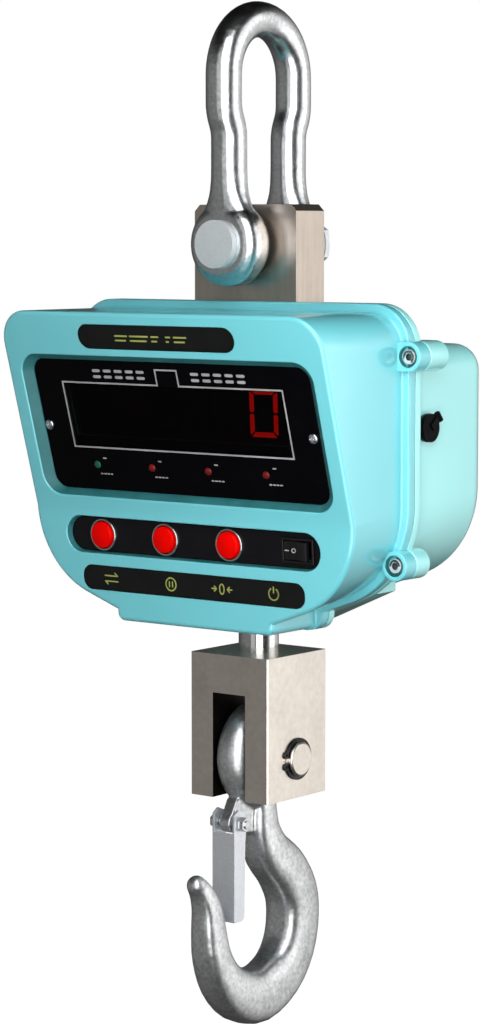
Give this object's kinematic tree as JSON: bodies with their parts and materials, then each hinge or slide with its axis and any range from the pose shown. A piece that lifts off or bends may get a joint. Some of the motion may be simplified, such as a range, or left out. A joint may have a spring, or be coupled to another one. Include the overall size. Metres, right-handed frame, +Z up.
{
  "type": "crane scale",
  "caption": "Hanging crane scale: bow shackle, load cell in a cyan cast housing with a digit display, buttons and rocker, and a swivel clevis block with a latched hook.",
  "frame": {"origin": "inner crown of the shackle bow, on the load axis", "axes": "+Z up along the load axis, the display faces -Y, and +X points to the right as seen when reading the display"},
  "size_m": [0.276, 0.175, 0.6329],
  "materials": {
    "zinc_forging": "forged and zinc plated, bright silver with a fine grain",
    "bright_zinc": "machined and zinc plated",
    "latch_zinc": "pressed sheet, zinc plated, bluish silver",
    "nickel_steel": "satin nickel plated, warm grey",
    "polished_steel": "ground and polished",
    "brass": "turned",
    "cyan_front": "glossy cyan powder coat on die-cast aluminium",
    "cyan_rear": "glossy cyan powder coat on die-cast aluminium",
    "black_rubber": "moulded, matt black",
    "smoked_acrylic": "smoked acrylic, nearly black",
    "circuit_board": "green solder resist",
    "component_black": "moulded",
    "digit_module": "black face with red segments",
    "indicator_lens": "tinted lens",
    "black_label": "printed film, black",
    "red_button": "moulded, bright red",
    "rocker_black": "moulded, black",
    "battery_case": "moulded, dark grey",
    "plated_sheet": "folded sheet",
    "dark_steel": "black oxide",
    "wire_sheath": "insulated wire"
  },
  "bodies": {
    "suspension": {"shackle_bow": "zinc_forging", "shackle_pin": "bright_zinc", "shackle_nut": "bright_zinc", "shackle_cotter": "bright_zinc"},
    "scale": {"load_cell": "nickel_steel", "strain_gauges": "circuit_board", "gauge_covers": "polished_steel", "mounting_brackets": "plated_sheet", "bracket_screws": "dark_steel", "front_housing": "cyan_front", "rear_housing": "cyan_rear", "housing_gasket": "black_rubber", "housing_screws": "bright_zinc", "top_seal": "black_rubber", "bottom_seal": "black_rubber", "display_panel": "smoked_acrylic", "panel_screws": "bright_zinc", "display_pcb": "circuit_board", "display_standoffs": "brass", "led_digits": "digit_module", "indicator_leds": "indicator_lens", "top_nameplate": "black_label", "lower_label": "black_label", "keypad_plate": "black_label", "button_bezels": "bright_zinc", "button_switches": "component_black", "rocker_frame": "rocker_black", "rocker_body": "component_black", "main_pcb": "circuit_board", "pcb_parts": "component_black", "pcb_standoffs": "brass", "battery": "battery_case", "battery_tray": "plated_sheet", "battery_strap": "plated_sheet", "battery_leads": "wire_sheath", "signal_cable": "wire_sheath", "charging_socket": "component_black", "bearing_balls": "polished_steel", "bearing_cage": "brass", "lower_race": "polished_steel"},
    "left_button": {"button_1": "red_button"},
    "middle_button": {"button_2": "red_button"},
    "right_button": {"button_3": "red_button"},
    "power_rocker": {"rocker": "rocker_black"},
    "charging_cover": {"charging_cap": "black_rubber"},
    "swivel_block": {"hook_rod": "polished_steel", "rod_nut": "polished_steel", "rod_nut_pin": "polished_steel", "upper_race": "polished_steel", "rod_lock_screw": "dark_steel", "hook_block": "nickel_steel", "hook_pin": "bright_zinc", "hook_pin_clips": "dark_steel"},
    "eye_hook": {"hook": "zinc_forging", "latch_bolt": "bright_zinc", "latch_nut": "bright_zinc", "latch_spring": "bright_zinc"},
    "safety_latch": {"latch": "latch_zinc"}
  },
  "joints": [
    {"name": "shackle_swing", "type": "hinge", "parent": "suspension", "child": "scale", "pos_m": [0, 0, -0.125], "axis": [0, 1, 0], "range_deg": [-45, 45]},
    {"name": "left_button_press", "type": "slide", "parent": "scale", "child": "left_button", "axis": [0, 0.9977, 0.068], "range_m": [0, 0.0015], "stiffness_N_per_m": 600, "springref_m": -0.0006},
    {"name": "middle_button_press", "type": "slide", "parent": "scale", "child": "middle_button", "axis": [0, 0.9977, 0.068], "range_m": [0, 0.0015], "stiffness_N_per_m": 600, "springref_m": -0.0006},
    {"name": "right_button_press", "type": "slide", "parent": "scale", "child": "right_button", "axis": [0, 0.9977, 0.068], "range_m": [0, 0.0015], "stiffness_N_per_m": 600, "springref_m": -0.0006},
    {"name": "rocker_tilt", "type": "hinge", "parent": "scale", "child": "power_rocker", "pos_m": [0.0791, -0.0615, -0.30289], "axis": [0, -0.068, 0.9977], "range_deg": [0, 16]},
    {"name": "cap_open", "type": "hinge", "parent": "scale", "child": "charging_cover", "pos_m": [0.1256, 0.01151, -0.2267], "axis": [0, -0.6428, 0.766], "range_deg": [0, 105]},
    {"name": "block_swivel", "type": "hinge", "parent": "scale", "child": "swivel_block", "pos_m": [0, 0, -0.37], "axis": [0, 0, 1], "continuous": true},
    {"name": "hook_swing", "type": "hinge", "parent": "swivel_block", "child": "eye_hook", "pos_m": [0, 0, -0.441], "axis": [1, 0, 0], "range_deg": [-60, 60]},
    {"name": "latch_open", "type": "hinge", "parent": "eye_hook", "child": "safety_latch", "pos_m": [0, -0.029, -0.48], "axis": [1, 0, 0], "range_deg": [0, 30], "stiffness_Nm_per_rad": 0.06, "springref_deg": -28.65}
  ]
}
